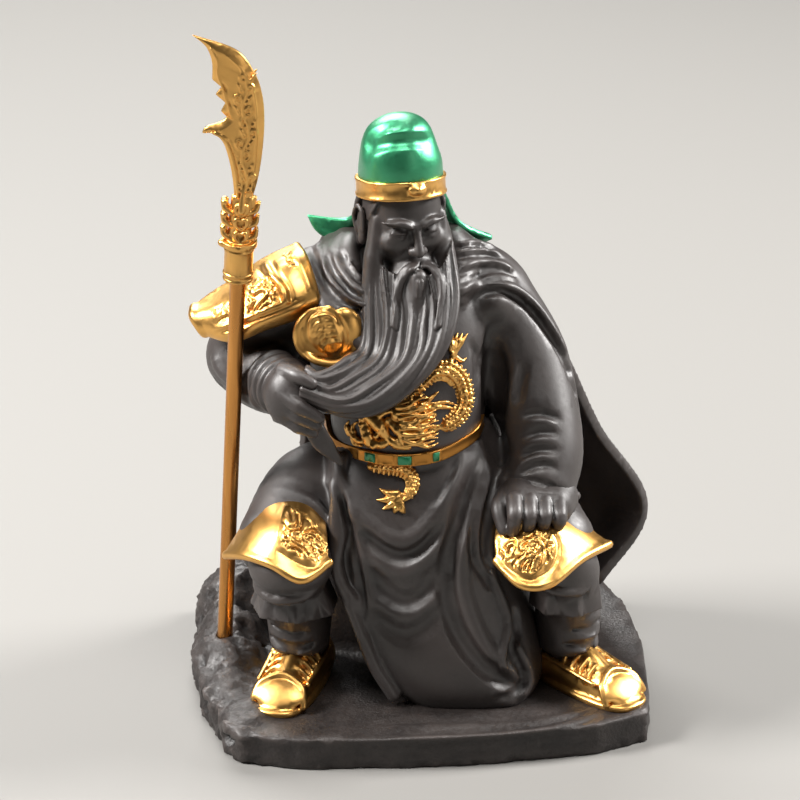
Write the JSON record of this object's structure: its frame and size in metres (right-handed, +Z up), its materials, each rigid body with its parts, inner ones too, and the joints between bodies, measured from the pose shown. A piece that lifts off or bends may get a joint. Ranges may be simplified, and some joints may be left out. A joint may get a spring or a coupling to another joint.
{
  "type": "seated warrior statue",
  "caption": "Seated bearded warrior in robe, cape and gilt armour on a rocky base, holding his beard, with a long-handled blade standing in a hole in the rock.",
  "frame": {"origin": "middle of the base's underside", "axes": "+Z up, the figure faces -Y, and +X is to its left"},
  "size_m": [0.1293, 0.1056, 0.1938],
  "materials": {
    "clay": "dark brown-grey unglazed clay, satin, with gilt and green painted parts",
    "copper_gold": "satin copper-gold rod",
    "bright_gold": "cast metal, satin bright gold"
  },
  "bodies": {
    "root": {"figure_and_base": "clay", "polearm_shaft": "copper_gold", "polearm_blade": "bright_gold"}
  },
  "joints": []
}
